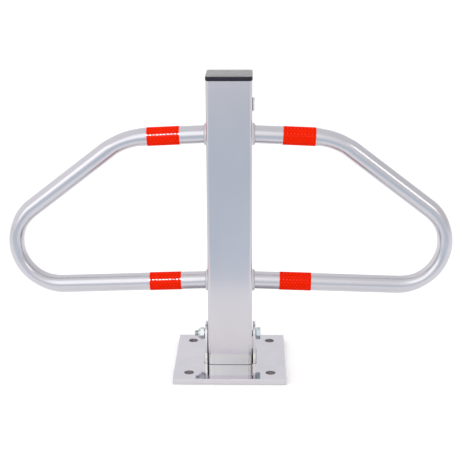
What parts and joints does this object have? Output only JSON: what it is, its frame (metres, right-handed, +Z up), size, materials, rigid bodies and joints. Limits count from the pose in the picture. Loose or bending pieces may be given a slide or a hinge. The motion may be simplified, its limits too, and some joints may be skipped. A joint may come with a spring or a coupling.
{
  "type": "folding parking lock",
  "caption": "Square folding barrier post with two bent-tube wings, hinged on a bolted base plate and locked by a key-driven rod.",
  "frame": {"origin": "centre of the base plate's underside, below the post's axis", "axes": "+Z up along the post, +X along the wings to the lock's side, -Y to the front, +Y where the post folds to"},
  "size_m": [0.6988, 0.177, 0.472],
  "materials": {
    "polished_plate": "bright zinc-plated plate, near mirror",
    "lug_steel": "bright zinc-plated, cut edges",
    "weld_metal": "zinc-plated weld bead, rippled",
    "zinc_plate": "bluish bright zinc",
    "white_nylon": "moulded nylon",
    "galvanised_post": "satin galvanised, faint mottling",
    "galvanised_tube": "satin galvanised tube",
    "reflective_red": "retroreflective prismatic tape",
    "black_plastic": "moulded polyethylene, slight sheen",
    "lock_chrome": "chrome-plated zinc casting",
    "lock_brass": "machined brass",
    "black_rubber": "matt rubber washer",
    "bright_steel": "plain bright steel, inside the post"
  },
  "bodies": {
    "base": {"base_plate": "polished_plate", "left_lug": "lug_steel", "right_lug": "lug_steel", "left_lug_weld": "weld_metal", "right_lug_weld": "weld_metal", "hinge_bolt": "zinc_plate", "hinge_nut": "zinc_plate", "nut_insert": "white_nylon", "head_washer": "zinc_plate", "nut_washer": "zinc_plate"},
    "post": {"post_tube": "galvanised_post", "hinge_sleeve": "bright_steel", "lower_rod_guide": "bright_steel", "upper_rod_guide": "bright_steel", "left_wing": "galvanised_tube", "right_wing": "galvanised_tube", "left_upper_weld": "weld_metal", "left_lower_weld": "weld_metal", "right_upper_weld": "weld_metal", "right_lower_weld": "weld_metal", "left_upper_band": "reflective_red", "left_lower_band": "reflective_red", "right_upper_band": "reflective_red", "right_lower_band": "reflective_red", "top_cap": "black_plastic", "lock_housing": "lock_chrome", "lock_gasket": "black_rubber", "lock_nut": "bright_steel", "cover_rivet": "lock_chrome"},
    "lock_rod": {"lock_rod": "bright_steel", "rod_yoke": "bright_steel", "yoke_pin": "bright_steel"},
    "lock_plug": {"lock_plug": "lock_brass", "lock_cam": "bright_steel", "cam_screw": "bright_steel"},
    "dust_cover": {"dust_cover": "lock_chrome"}
  },
  "joints": [
    {"name": "post_fold", "type": "hinge", "parent": "base", "child": "post", "pos_m": [0, 0, 0.0495], "axis": [-1, 0, 0], "range_deg": [0, 90]},
    {"name": "rod_drop", "type": "slide", "parent": "post", "child": "lock_rod", "axis": [0, 0, -1], "range_m": [0, 0.017]},
    {"name": "lock_turn", "type": "hinge", "parent": "post", "child": "lock_plug", "pos_m": [0.015, 0, 0.4243], "axis": [-1, 0, 0], "range_deg": [0, 90]},
    {"name": "cover_swing", "type": "hinge", "parent": "post", "child": "dust_cover", "pos_m": [0.0376, 0, 0.4325], "axis": [1, 0, 0], "range_deg": [-100, 100]}
  ],
  "couplings": [
    {"joint": "lock_turn", "follows": "rod_drop", "rad_per_m": 92.4}
  ]
}
